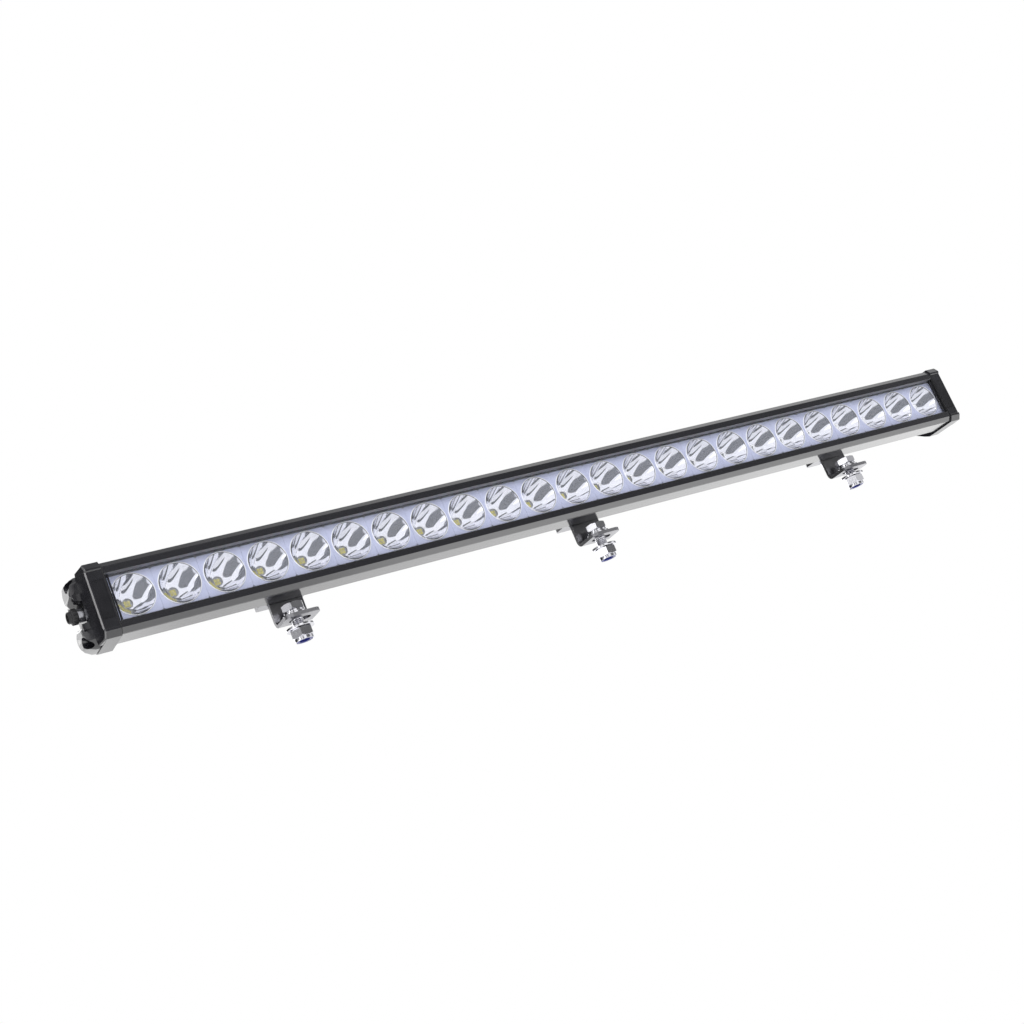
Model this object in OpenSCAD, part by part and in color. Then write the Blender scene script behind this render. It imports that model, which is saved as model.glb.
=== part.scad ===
// LED light bar on three sliding feet.
// X runs along the bar, Y runs from the light's front to its back, Z is up.
// The origin is the middle of the slot in the middle foot, on the foot's underside.

/* [Light] */
// Number of light cells in the row
cell_count = 24; // [24]
// Distance from one cell to the next
cell_pitch = 37.5; // [37:0.5:38]
// Height of the housing
body_h = 58; // [57:0.5:60]
// Depth of the full-height front part of the housing
body_front_d = 28; // [27:0.5:29]
// Depth from the front face to the root of the cooling fins
body_d = 47; // [47:0.5:49]
// Length of the cooling fins
fin_d = 11; // [8:0.5:12]
// Number of cooling fins on the back
fin_count = 7; // [5:1:8]
// Half height of the lens window at the front face
window_half = 19.4; // [19:0.1:19.8]
// Half height of the reflector plate
plate_half = 17.6; // [17.2:0.1:17.8]

/* [Optics] */
// Radius of a reflector bowl at its rim
bowl_r = 16.5; // [15:0.25:16.75]
// Depth of a reflector bowl behind its plate
bowl_d = 21; // [18:0.5:21]
// Number of bowls moulded in one reflector strip
cells_per_reflector = 3; // [3]
// Thickness of the lens cover
lens_t = 2.8; // [2:0.1:2.8]

/* [End caps] */
// Length of the gap for the gasket between housing and end cap
gasket_t = 1; // [0.8:0.1:1.5]
// Length of the end cap's flat rim along the bar
cap_rim = 12; // [11:0.5:13]
// How far the rim stands proud of the housing
cap_proud = 1.5; // [0.5:0.25:2]
// How far the two screw lobes stand out past the rim
cap_lobe = 11; // [9:0.5:12]

/* [Feet] */
// How far the bar's middle lies to the right of the middle foot
bar_shift = 7; // [0:0.5:10]
// Distance from the middle foot to the left foot
left_gap = 300; // [250:1:330]
// Distance from the middle foot to the right foot
right_gap = 310; // [250:1:330]
// Width of the foot and of the leg
foot_w = 30; // [28:0.5:34]
// Width of the top flange
flange_w = 40; // [34:0.5:42]
// Thickness of the bracket sheet
sheet_t = 3; // [2.5:0.25:3]
// Reach of the foot in front of its leg
foot_reach = 27; // [26:0.5:30]
// Height from the foot's underside to the underside of the housing
foot_drop = 21.5; // [20:0.5:24]
// Free space between each foot and its washer, from left to right
nut_gaps = [6, 8, 4.5]; // [4.5:0.5:10]
// Place of each foot bolt along the slot in its foot, from left to right
bolt_places = [-2.5, -1.5, -1.5]; // [-3:0.5:3]

/* [Fasteners] */
// Radius of the foot bolts' shanks
foot_bolt_r = 5; // [4:1:5]
// Width across the flats of the foot bolts' heads and nuts
foot_hex = 17; // [13:1:17]
// Radius of the clamp bolts that slide in the housing's slot
clamp_bolt_r = 3; // [2.5:0.5:3]
// Width across the flats of the clamp bolts' heads and nuts
clamp_hex = 10; // [8:1:10]

/* [Hidden] */
$fn = 64;
eps = 0.01;

row_l = cell_count * cell_pitch;
body_l = row_l;
half_l = body_l / 2;

// Places of the housing's own planes in the part's frame
front_y = -(foot_reach / 2 + 1);
centre_z = foot_drop + body_h / 2;
bar_x = bar_shift;
foot_x = [-left_gap, 0, right_gap];

// Housing section, seen from the left end: depth first, height second
rail_flat_half = 25;
rail_chamfer_d = 3.3;
rear_half = 23.5;
rear_taper_half = 21;
groove_y = 3.2;
groove_half = 20.6;
plate_y = groove_y + lens_t + 0.1;
pocket_half = 17.8;
board_t = 1.6;
reflector_back_y = plate_y + bowl_d + 1;
board_y = reflector_back_y + 1.2;
pad_t = 0.5;
pocket_back_y = board_y + board_t + pad_t;
driver_front_y = pocket_back_y + 3;
driver_back_y = body_d - 3;
driver_low_z = -11;
driver_high_z = 19;
fin_t = 2.2;
fin_span = 2 * 17.5;

// Slot for the clamp bolts under the rear of the housing
slot_y = 40.5;
slot_mouth = 2 * clamp_bolt_r + 0.8;
slot_lip = 3;
slot_w = clamp_hex + 0.8;
slot_h = 5.4;
clamp_head_h = 4;

// End cap screws: depth and height of each one in the housing section
screw_places = [[24.5, 23.2], [24.5, -23.2], [52.5, 8.7], [52.5, -8.7]];
screw_r = 2.5;
screw_boss_r = 4.2;
screw_head_r = 4.25;
screw_head_h = 5;
screw_l = 24;
gland_y = 29;
gland_z = 0.5;
chamber_d = 7;
cap_back_y = body_d + fin_d + 1;
cap_inner = half_l + gasket_t;
cap_rim_end = cap_inner + cap_rim;
cap_end = cap_rim_end + cap_lobe;
badge_half = 15.5;
badge_w = 9;
badge_depth = 0.8;
panel_y = -0.5;
panel_half = 23.3;
valley_half = 10.5;
valley_floor = cap_rim_end + 1.5;

// Gland and breather
gland_bore_r = 3.1;
gland_neck_r = 5.4;
gland_neck_l = 6.5;
gland_nut_r = 6.8;
gland_nut_l = 7.5;
gland_thread_r = 4.6;
breather_r = 6.2;
breather_l = 5;

// Bracket
leg_front_y = body_front_d + 0.3;
flange_top_z = -rear_half - 0.3;
foot_under_z = -(body_h / 2) - foot_drop;
foot_corner_r = 6;
foot_slot_l = 19;
foot_slot_w = 2 * foot_bolt_r + 1;
bend_r = 3;
flange_back_y = 49.5;
washer_t = 2;
clamp_washer_r = 6;
clamp_nut_h = 5;
foot_washer_r = 12;
foot_head_h = 6.2;
captive_washer_r = 10.4;
captive_washer_t = 1.9;
spring_washer_r = 8.8;
spring_washer_t = 2.2;
foot_nut_h = 7.6;
insert_h = 2.6;
insert_r = 7.05;
insert_bore_r = 4.4;

// Moves a shape drawn in the bar's own frame into the part's frame.
module bar() {
    translate([bar_x, front_y, centre_z]) children();
}

// Extrudes a section of depth and height along the bar from x0 to x1.
module along(x0, x1) {
    translate([x0, 0, 0]) rotate([90, 0, 90]) linear_extrude(x1 - x0) children();
}

// A round rod along X at one depth and height.
module rod_x(x0, x1, y, z, r) {
    translate([x0, y, z]) rotate([0, 90, 0]) cylinder(h = x1 - x0, r = r);
}

// A hexagonal prism standing on Z, with the given width across its flats.
module hex(across, height) {
    cylinder(h = height, d = across / cos(30), $fn = 6);
}

// Places a shape at every cell of the row.
module each_cell(first = 0, last = cell_count - 1) {
    for (i = [first : last])
        translate([(i + 0.5) * cell_pitch - half_l, 0, 0]) children();
}

// A point list and its mirror image below the centre line, as one closed outline.
function mirrored(points) = concat(
    points,
    [for (i = [len(points) - 1 : -1 : 0]) [points[i][0], -points[i][1]]]
);

module housing_outline() {
    polygon(mirrored([
        [0, rail_flat_half],
        [rail_chamfer_d, body_h / 2],
        [body_front_d, body_h / 2],
        [body_front_d, rear_half],
        [body_d, rear_half],
        [body_d + 2, rear_taper_half]
    ]));
}

module window_outline() {
    polygon(mirrored([
        [-1, window_half + 0.3],
        [groove_y, window_half - 0.9],
        [groove_y, groove_half],
        [groove_y + lens_t, groove_half],
        [groove_y + lens_t, pocket_half],
        [pocket_back_y, pocket_half]
    ]));
}

module slot_outline() {
    translate([slot_y, -rear_half - 1])
        translate([-slot_mouth / 2, 0]) square([slot_mouth, slot_lip + 2]);
    translate([slot_y - slot_w / 2, -rear_half + slot_lip]) square([slot_w, slot_h]);
}

module fins() {
    for (i = [0 : fin_count - 1])
        translate([-half_l, body_d, -fin_span / 2 + i * (fin_span - fin_t) / (fin_count - 1)])
            cube([body_l, fin_d, fin_t]);
    for (place = screw_places)
        if (place[0] > body_d)
            rod_x(-half_l, half_l, place[0], place[1], screw_boss_r);
}

module housing() {
    color("#2b2b30") bar() difference() {
        union() {
            along(-half_l, half_l) housing_outline();
            fins();
        }
        along(-half_l - 1, half_l + 1) {
            window_outline();
            slot_outline();
            translate([driver_front_y, driver_low_z])
                square([driver_back_y - driver_front_y, driver_high_z - driver_low_z]);
        }
        // hollow chambers inside the two front rails save weight
        for (side = [-1, 1])
            rod_x(-half_l - 1, half_l + 1, 11, side * 23.4, 3.4);
        // threaded ends of the four screw channels
        for (place = screw_places)
            for (end = [-1, 1])
                rod_x(end * (half_l - 10) - 11, end * (half_l - 10) + 11, place[0], place[1], screw_r);
        // tapped holes for the screws that hold the boards
        board_screw_places() translate([0, board_y - 1, 0])
            rotate([-90, 0, 0]) cylinder(h = driver_front_y - board_y - 0.5, r = 1.25);
        // opening for the supply wires at the left end
        translate([-half_l - 1, pocket_back_y - 1, -4]) cube([9, 6, 8]);
    }
}

module lens_cover() {
    color("#e8f0ff", 0.25) bar()
        translate([-half_l + 0.3, groove_y + 0.15, -groove_half + 1.1])
            cube([body_l - 0.6, lens_t - 0.3, 2 * groove_half - 2.2]);
}

// Soft cord that fills the two grooves behind the lens's long edges.
module lens_gasket() {
    color("#18181a") bar()
        for (side = [-1, 1])
            translate([-half_l + 0.3, groove_y + 0.1, side * (groove_half - 0.55) - 0.45])
                cube([body_l - 0.6, lens_t - 0.2, 0.9]);
}

// One bowl's outer or inner shape, opening towards the front.
// The wall follows a parabola from the rim to the hole round the emitter.
module bowl(extra) {
    steps = 10;
    hole_r = 4.3;
    function depth(r) = bowl_d * (1 - pow((r - hole_r) / (bowl_r - hole_r), 2));
    translate([0, plate_y, 0]) rotate([-90, 0, 0])
        rotate_extrude()
            polygon(concat(
                [[0, bowl_d + 1], [0, -1], [bowl_r + extra, -1]],
                [for (i = [steps : -1 : 0])
                    let (r = hole_r + (bowl_r - hole_r) * i / steps) [r + extra, depth(r)]],
                [[hole_r + extra, bowl_d + 1]]
            ));
}

module reflector(index) {
    first = (index - 1) * cells_per_reflector;
    last = first + cells_per_reflector - 1;
    color("#c3c7e4") bar() difference() {
        union() {
            translate([first * cell_pitch - half_l + 0.1, plate_y, -plate_half + 0.1])
                cube([cells_per_reflector * cell_pitch - 0.2, 1.5, 2 * plate_half - 0.2]);
            intersection() {
                each_cell(first, last) bowl(1);
                translate([first * cell_pitch - half_l + 0.1, plate_y, -plate_half + 0.1])
                    cube([cells_per_reflector * cell_pitch - 0.2, bowl_d + 1, 2 * plate_half - 0.2]);
            }
        }
        each_cell(first, last) bowl(0);
    }
}

module led_board(left) {
    x0 = left ? -half_l + 1 : 0.2;
    color("#e9e9e4") bar() difference() {
        translate([x0, board_y, -17]) cube([half_l - 1.2, board_t, 34]);
        board_screw_places() translate([0, board_y - 1, 0])
            rotate([-90, 0, 0]) cylinder(h = board_t + 2, r = 1.6);
    }
}

module led_packages() {
    color("#dcdcd2") bar() each_cell()
        translate([-3.5, board_y - 0.9, -3.5]) cube([7, 0.9, 7]);
}

module led_phosphors() {
    color("#d9cf2e") bar() each_cell()
        translate([-2.6, board_y - 1.3, -2.6]) cube([5.2, 0.4, 5.2]);
}

module thermal_pad() {
    color("#9fb3c4") bar() difference() {
        translate([-half_l + 1, board_y + board_t, -17]) cube([body_l - 2, pad_t, 34]);
        board_screw_places() translate([0, board_y, 0])
            rotate([-90, 0, 0]) cylinder(h = 4, r = 2);
    }
}

// Board screws sit between cells, two in each quarter of the row.
module board_screw_places() {
    for (i = [0 : 3])
        for (step = [1, 5])
            translate([(i * 6 + step) * cell_pitch - half_l, 0, -14.5]) children();
}

module board_screws() {
    color("#b9b9b4") bar() board_screw_places()
        translate([0, board_y, 0]) rotate([-90, 0, 0]) {
            translate([0, 0, -1.3]) cylinder(h = 1.3, r = 2.6);
            cylinder(h = board_t + pad_t + 1.2, r = 1.2);
        }
}

module driver_board() {
    color("#245c35") bar()
        translate([-190, driver_front_y + 1, driver_low_z + 1.5])
            cube([380, 1.6, driver_high_z - driver_low_z - 3]);
}

module driver_inductors() {
    color("#3a3a3c") bar()
        for (x = [-140, -60, 60, 140])
            translate([x, driver_front_y + 2.6, 5]) rotate([-90, 0, 0]) cylinder(h = 5, r = 6);
}

module driver_capacitors() {
    color("#5b5f66") bar()
        for (x = [-170, -100, 20, 100, 170])
            translate([x, driver_front_y + 2.6, 7]) rotate([-90, 0, 0]) cylinder(h = 5.4, r = 4);
}

module driver_chips() {
    color("#1c1c1e") bar()
        for (x = [-120, -20, 80])
            translate([x, driver_front_y + 2.6, -6]) cube([9, 1.6, 6]);
}

// Two insulated wires from the gland to the driver board.
module supply_wires() {
    wire_r = 1;
    wire_y = driver_front_y + 4.5;
    color("#a02020") bar()
        for (z = [-2, 2]) {
            rod_x(-half_l - 7.5, -half_l - 4, gland_y + 1, z, wire_r);
            translate([-half_l - 4, gland_y + 1, z]) sphere(r = wire_r);
            translate([-half_l - 4, gland_y + 1, z]) rotate([-90, 0, 0])
                cylinder(h = wire_y - gland_y - 1, r = wire_r);
            translate([-half_l - 4, wire_y, z]) sphere(r = wire_r);
            rod_x(-half_l - 4, -178, wire_y, z, wire_r);
            translate([-178, wire_y, z]) sphere(r = wire_r);
            translate([-178, driver_front_y + 2.6, z]) rotate([-90, 0, 0])
                cylinder(h = wire_y - driver_front_y - 2.6, r = wire_r);
        }
}

// The end cap's section, with the housing's outline grown by cap_proud.
module cap_outline() {
    polygon(mirrored([
        [-cap_proud, rail_flat_half + 0.5],
        [rail_chamfer_d - 1, body_h / 2 + cap_proud],
        [body_d - 10, body_h / 2 + cap_proud],
        [body_d - 3.5, body_h / 2 - 1.5],
        [cap_back_y, 19.5]
    ]));
}

// Thin flat rim on the bezel's outer side, with a wavy back edge.
module bezel_side_outline() {
    difference() {
        polygon(mirrored([
            [0, rail_flat_half],
            [3, body_h / 2],
            [15, body_h / 2],
            [18, 24],
            [23, 12],
            [24, 0]
        ]));
        for (side = [-1, 1])
            translate([screw_places[0][0], side * screw_places[0][1]]) circle(r = screw_head_r + 1.6);
    }
}

// One end cap for the right end. Its two rear lobes carry the screws, and the
// valley between them leaves room for the gland or the breather.
module cap_shape() {
    difference() {
        union() {
            along(cap_inner, cap_rim_end) cap_outline();
            along(cap_rim_end - eps, cap_rim_end + 3) bezel_side_outline();
            for (side = [-1, 1]) {
                translate([cap_rim_end - eps, 37, side * 18.5]) rotate([0, 90, 0])
                    cylinder(h = cap_lobe, r1 = 11.5, r2 = 8.5);
                translate([cap_rim_end - eps, 50, side * 11.5]) rotate([0, 90, 0])
                    cylinder(h = cap_lobe - 4, r1 = 7.5, r2 = 6);
            }
        }
        // recessed middle of the front face, with a deeper seat for the badge
        translate([cap_inner - 1, panel_y - 3, -panel_half])
            cube([cap_rim + 6, 3, 2 * panel_half]);
        translate([cap_inner + 1, panel_y - 1, -badge_half])
            cube([badge_w + 0.4, badge_depth + 1, 2 * badge_half]);
        // valley for the gland, open to the back
        translate([valley_floor, 18, -valley_half + gland_z])
            cube([cap_lobe + 5, 60, 2 * valley_half]);
        // chamber for the wires, open to the housing
        translate([cap_inner - 1, 23, -9]) cube([chamber_d + 1, driver_back_y - 24, 18]);
        rod_x(cap_inner, cap_end, gland_y, gland_z, gland_thread_r);
        // screw holes with deep counterbores
        for (place = screw_places) {
            rod_x(cap_inner - 1, cap_end + 1, place[0], place[1], screw_r + 0.3);
            rod_x(cap_inner + 7, cap_end + 1, place[0], place[1], screw_head_r + 0.5);
        }
    }
}

module end_cap(side) {
    color("#232328") bar()
        if (side > 0) cap_shape();
        else mirror([1, 0, 0]) cap_shape();
}

module end_gasket(side) {
    color("#141416") bar() difference() {
        along(side > 0 ? half_l : -half_l - gasket_t, side > 0 ? half_l + gasket_t : -half_l)
            housing_outline();
        translate([side * half_l - 5, 6, -16]) cube([10, 20, 32]);
        translate([side * half_l - 5, driver_front_y - 3, -9.5])
            cube([10, driver_back_y - driver_front_y + 3, 19]);
        translate([side * half_l - 5, slot_y - slot_w / 2, -rear_half - 1])
            cube([10, slot_w, slot_h + slot_lip + 1]);
        for (place = screw_places)
            rod_x(side * half_l - 5, side * half_l + 5, place[0], place[1], screw_r + 0.4);
    }
}

module cap_screws(side) {
    head_x = cap_inner + 7;
    color("#8f9298") bar()
        mirror([side > 0 ? 0 : 1, 0, 0])
            for (place = screw_places) {
                rod_x(head_x + 0.02 - screw_l + 5, head_x + 0.1, place[0], place[1], screw_r - 0.05);
                difference() {
                    rod_x(head_x, head_x + screw_head_h, place[0], place[1], screw_head_r);
                    translate([head_x + screw_head_h - 2.5, place[0], place[1]])
                        rotate([0, 90, 0]) hex(4, 3);
                }
            }
}

// Blank plate in the seat on the end cap's front face.
module badge(side) {
    color("#1b1b1e") bar()
        mirror([side > 0 ? 0 : 1, 0, 0])
            translate([cap_inner + 1.2, panel_y + 0.1, -badge_half + 0.2])
                cube([badge_w, badge_depth - 0.2, 2 * badge_half - 0.4]);
}

module gland_body() {
    color("#c9ccd2") bar() mirror([1, 0, 0]) difference() {
        union() {
            rod_x(cap_inner + chamber_d, valley_floor + 0.1, gland_y, gland_z, gland_thread_r - 0.05);
            rod_x(valley_floor + 0.02, valley_floor + gland_neck_l, gland_y, gland_z, gland_neck_r);
            rod_x(valley_floor + gland_neck_l - 0.1, valley_floor + gland_neck_l + 5,
                  gland_y, gland_z, gland_thread_r);
        }
        rod_x(cap_inner, cap_end + 10, gland_y, gland_z, gland_bore_r);
    }
}

module gland_nut() {
    nut_x = valley_floor + gland_neck_l + 0.05;
    ribs = 12;
    color("#151517") bar() mirror([1, 0, 0]) difference() {
        union() {
            rod_x(nut_x, nut_x + gland_nut_l, gland_y, gland_z, gland_nut_r - 0.5);
            for (i = [0 : ribs - 1])
                translate([nut_x, gland_y, gland_z]) rotate([i * 360 / ribs, 0, 0])
                    translate([0, gland_nut_r - 0.6, 0]) rotate([0, 90, 0])
                        cylinder(h = gland_nut_l - 1, r = 0.8);
        }
        rod_x(nut_x - 1, nut_x + 5.1, gland_y, gland_z, gland_thread_r + 0.02);
        rod_x(nut_x, nut_x + gland_nut_l + 1, gland_y, gland_z, gland_bore_r + 0.4);
    }
}

module gland_seal() {
    seal_x = valley_floor + gland_neck_l + 5.1;
    color("#3b3b3d") bar() mirror([1, 0, 0]) difference() {
        rod_x(seal_x, seal_x + 2.3, gland_y, gland_z, gland_bore_r + 0.38);
        rod_x(seal_x - 1, seal_x + 4, gland_y, gland_z, gland_bore_r);
    }
}

module breather_plug() {
    color("#1a1a1c") bar() {
        rod_x(cap_inner + chamber_d, valley_floor + 1.1, gland_y, gland_z, gland_thread_r - 0.05);
        translate([valley_floor + 1.02, gland_y, gland_z]) rotate([0, 90, 0]) {
            cylinder(h = 1.6, r = breather_r);
            translate([0, 0, 1.5]) hex(2 * breather_r - 2.4, breather_l - 1.5);
        }
    }
}

module breather_seal() {
    color("#2c2c2e") bar() difference() {
        rod_x(valley_floor + 0.02, valley_floor + 1, gland_y, gland_z, breather_r - 0.4);
        rod_x(valley_floor - 1, valley_floor + 2, gland_y, gland_z, gland_thread_r);
    }
}

// Places a foot's shape at its own station, in the housing's section frame.
module at_foot(index) {
    translate([foot_x[index], front_y, centre_z]) children();
}

// Places a foot bolt's shape in the slot of its foot, with Z = 0 at the foot's underside.
module at_slot(index) {
    translate([foot_x[index] + bolt_places[index], 0, 0]) children();
}

// Hexagon-headed bolt whose head slides in the housing's slot.
module clamp_bolt(index) {
    head_z = -rear_half + slot_lip + 0.3;
    shank_l = head_z - flange_top_z + sheet_t + washer_t + clamp_nut_h + 1.5;
    color("#c4c6ca") at_foot(index) translate([0, slot_y, 0]) {
        translate([0, 0, head_z]) hex(clamp_hex, clamp_head_h);
        translate([0, 0, head_z - shank_l]) cylinder(h = shank_l + 0.1, r = clamp_bolt_r);
    }
}

// Foot, leg and flange bent from one sheet, with rounded bends.
module bracket_section() {
    leg_back_y = leg_front_y + sheet_t;
    foot_top_z = foot_under_z + sheet_t;
    translate([leg_front_y - foot_reach, foot_under_z]) square([foot_reach - bend_r, sheet_t]);
    translate([leg_front_y, foot_top_z + bend_r])
        square([sheet_t, flange_top_z - foot_top_z - 2 * bend_r - sheet_t]);
    translate([leg_back_y + bend_r, flange_top_z - sheet_t])
        square([flange_back_y - leg_back_y - bend_r, sheet_t]);
    // bend from foot to leg, with its centre in front of the leg
    translate([leg_front_y - bend_r, foot_top_z + bend_r]) intersection() {
        difference() {
            circle(r = bend_r + sheet_t);
            circle(r = bend_r);
        }
        translate([0, -bend_r - sheet_t]) square(bend_r + sheet_t);
    }
    // bend from leg to flange, with its centre behind the leg
    translate([leg_back_y + bend_r, flange_top_z - sheet_t - bend_r]) intersection() {
        difference() {
            circle(r = bend_r + sheet_t);
            circle(r = bend_r);
        }
        translate([-bend_r - sheet_t, 0]) square(bend_r + sheet_t);
    }
}

// Outline of the blank seen from above: a wide flange and a narrower foot.
module bracket_plan() {
    leg_y = leg_front_y + sheet_t + 1;
    foot_front = leg_front_y - foot_reach;
    flange_corner_r = 3;
    translate([-foot_w / 2, foot_front + foot_corner_r])
        square([foot_w, leg_y - foot_front - foot_corner_r + 1]);
    translate([-foot_w / 2 + foot_corner_r, foot_front])
        square([foot_w - 2 * foot_corner_r, foot_corner_r + 1]);
    for (side = [-1, 1]) {
        translate([side * (foot_w / 2 - foot_corner_r), foot_front + foot_corner_r])
            circle(r = foot_corner_r);
        translate([side * (flange_w / 2 - flange_corner_r), flange_back_y - flange_corner_r])
            circle(r = flange_corner_r);
    }
    translate([-flange_w / 2, leg_y])
        square([flange_w, flange_back_y - leg_y - flange_corner_r]);
    translate([-flange_w / 2 + flange_corner_r, leg_y])
        square([flange_w - 2 * flange_corner_r, flange_back_y - leg_y]);
}

module bracket(index) {
    slot_centre_y = -front_y;
    slot_run = foot_slot_l - foot_slot_w;
    color("#b9bcc2") at_foot(index) difference() {
        intersection() {
            along(-flange_w / 2, flange_w / 2) bracket_section();
            translate([0, 0, foot_under_z - 1]) linear_extrude(60) bracket_plan();
        }
        translate([0, slot_y, flange_top_z - sheet_t - 1])
            cylinder(h = sheet_t + 2, r = clamp_bolt_r + 0.25);
        translate([0, slot_centre_y, foot_under_z - 1]) {
            for (side = [-1, 1])
                translate([side * slot_run / 2, 0, 0]) cylinder(h = sheet_t + 2, r = foot_slot_w / 2);
            translate([-slot_run / 2, -foot_slot_w / 2, 0]) cube([slot_run, foot_slot_w, sheet_t + 2]);
        }
    }
}

module clamp_washer(index) {
    color("#cfd1d5") at_foot(index)
        translate([0, slot_y, flange_top_z - sheet_t - washer_t - 0.02]) difference() {
            cylinder(h = washer_t, r = clamp_washer_r);
            translate([0, 0, -1]) cylinder(h = washer_t + 2, r = clamp_bolt_r + 0.2);
        }
}

module clamp_nut(index) {
    color("#cfd1d5") at_foot(index)
        translate([0, slot_y, flange_top_z - sheet_t - washer_t - clamp_nut_h - 0.04]) difference() {
            hex(clamp_hex, clamp_nut_h);
            translate([0, 0, -1]) cylinder(h = clamp_nut_h + 2, r = clamp_bolt_r + 0.02);
        }
}

// Height of the washer's top under the foot, for one foot.
function washer_top(index) = -nut_gaps[index];

// Bolt with a flat washer and a spring washer held under its head.
// Its end stops just above the locking ring in the nut.
module foot_bolt(index) {
    head_z = sheet_t + 0.3;
    tail_z = washer_top(index) - washer_t - foot_nut_h + 0.4;
    color("#c9ccd1") at_slot(index) {
        translate([0, 0, head_z]) cylinder(h = captive_washer_t, r = captive_washer_r);
        translate([0, 0, head_z + captive_washer_t - eps])
            cylinder(h = spring_washer_t, r = spring_washer_r);
        translate([0, 0, head_z + captive_washer_t + spring_washer_t - 2 * eps])
            rotate([0, 0, 15]) hex(foot_hex, foot_head_h);
        translate([0, 0, tail_z]) cylinder(h = head_z - tail_z + 0.1, r = foot_bolt_r);
    }
}

module foot_washer(index) {
    color("#d6d8dc") at_slot(index) translate([0, 0, washer_top(index) - washer_t]) difference() {
        cylinder(h = washer_t, r = foot_washer_r);
        translate([0, 0, -1]) cylinder(h = washer_t + 2, r = foot_bolt_r + 0.25);
    }
}

module foot_nut(index) {
    nut_top = washer_top(index) - washer_t - 0.02;
    color("#cdd0d6") at_slot(index) translate([0, 0, nut_top - foot_nut_h - insert_h]) difference() {
        union() {
            translate([0, 0, insert_h]) rotate([0, 0, 10]) hex(foot_hex, foot_nut_h);
            cylinder(h = insert_h + 0.1, r = foot_hex / 2 - 0.4);
        }
        translate([0, 0, -1]) cylinder(h = 20, r = foot_bolt_r + 0.02);
        translate([0, 0, -1]) cylinder(h = insert_h + 1, r = insert_r + 0.05);
    }
}

module nut_insert(index) {
    insert_z = washer_top(index) - washer_t - 0.02 - foot_nut_h - insert_h;
    color("#20357a") at_slot(index) translate([0, 0, insert_z]) difference() {
        cylinder(h = insert_h - 0.05, r = insert_r);
        translate([0, 0, -1]) cylinder(h = insert_h + 2, r = insert_bore_r);
    }
}

housing();
lens_cover();
lens_gasket();
for (i = [1 : cell_count / cells_per_reflector])
    reflector(i);
led_board(true);  // led_board_left
led_board(false);  // led_board_right
led_packages();
led_phosphors();
thermal_pad();
board_screws();
driver_board();
driver_inductors();
driver_capacitors();
driver_chips();
supply_wires();
end_cap(-1);  // end_cap_left
end_cap(1);  // end_cap_right
end_gasket(-1);  // end_gasket_left
end_gasket(1);  // end_gasket_right
cap_screws(-1);  // cap_screws_left
cap_screws(1);  // cap_screws_right
badge(-1);  // badge_left
badge(1);  // badge_right
gland_body();
gland_nut();
gland_seal();
breather_plug();
breather_seal();
for (i = [0 : 2]) {
    side = ["left", "middle", "right"][i];
    clamp_bolt(i);
    bracket(i);
    clamp_washer(i);
    clamp_nut(i);
    foot_bolt(i);
    foot_washer(i);
    foot_nut(i);
    nut_insert(i);
}
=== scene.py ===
import math
import bmesh
import bpy
from mathutils import Matrix, Vector
from mathutils.geometry import tessellate_polygon


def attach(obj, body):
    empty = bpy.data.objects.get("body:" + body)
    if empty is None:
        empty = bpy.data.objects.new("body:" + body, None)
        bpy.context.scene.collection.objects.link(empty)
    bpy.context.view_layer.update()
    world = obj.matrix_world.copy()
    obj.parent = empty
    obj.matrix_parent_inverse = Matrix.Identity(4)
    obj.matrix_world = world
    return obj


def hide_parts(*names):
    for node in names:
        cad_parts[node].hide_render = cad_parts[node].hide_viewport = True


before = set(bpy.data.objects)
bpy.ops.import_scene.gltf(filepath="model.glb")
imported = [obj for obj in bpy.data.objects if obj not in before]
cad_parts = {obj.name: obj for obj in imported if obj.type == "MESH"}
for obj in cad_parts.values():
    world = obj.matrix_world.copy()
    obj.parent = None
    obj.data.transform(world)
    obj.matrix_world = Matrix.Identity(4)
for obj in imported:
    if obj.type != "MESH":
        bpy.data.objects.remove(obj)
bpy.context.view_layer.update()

# Lengths in this script are in millimetres in the bar's own frame, as in the CAD source:
# X along the bar, Y from its front to its back, Z up from its centre line.
MM = 0.001
# The bar frame's origin in the part's own frame
BAR = Vector((7.0, -14.5, 50.5))
# Half the housing's length, and where the end caps start beyond their gaskets
HALF_L = 450.0
CAP_FACE = HALF_L + 1.0
# Number and spacing of the light cells
CELLS = 24
PITCH = 37.5
# Where the feet are along the bar, the gap under each to its washer, and its bolt's place in the slot
FOOT_X = {"left": -307.0, "middle": -7.0, "right": 303.0}
NUT_GAP = {"left": 6.0, "middle": 8.0, "right": 4.5}
BOLT_PLACE = {"left": -2.5, "middle": -1.5, "right": -1.5}
# Height of the feet's undersides, and the thickness of their sheet
FOOT_UNDER = -50.5
SHEET = 3.0


# ---------------------------------------------------------------- mesh helpers

class Shape:
    """Vertices and faces of one piece, in the bar's frame, with a material number per face."""

    def __init__(self):
        self.verts = []
        self.faces = []
        self.kinds = []

    def add(self, verts, faces, kind=0):
        base = len(self.verts)
        self.verts += [Vector(v) for v in verts]
        self.faces += [[base + i for i in face] for face in faces]
        self.kinds += [kind] * len(faces)


def grid_faces(rows, columns, wrap):
    """Quads between rows of points; wrap joins each row's last point to its first."""
    faces = []
    last = columns if wrap else columns - 1
    for r in range(rows - 1):
        low, high = r * columns, (r + 1) * columns
        for c in range(last):
            d = (c + 1) % columns
            faces.append([low + c, low + d, high + d, high + c])
    return faces


def arc(cx, cy, radius, start, end, steps):
    """Points on an arc between two angles in degrees."""
    angles = [math.radians(start + (end - start) * k / steps) for k in range(steps + 1)]
    return [(cx + radius * math.cos(a), cy + radius * math.sin(a)) for a in angles]


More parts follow.
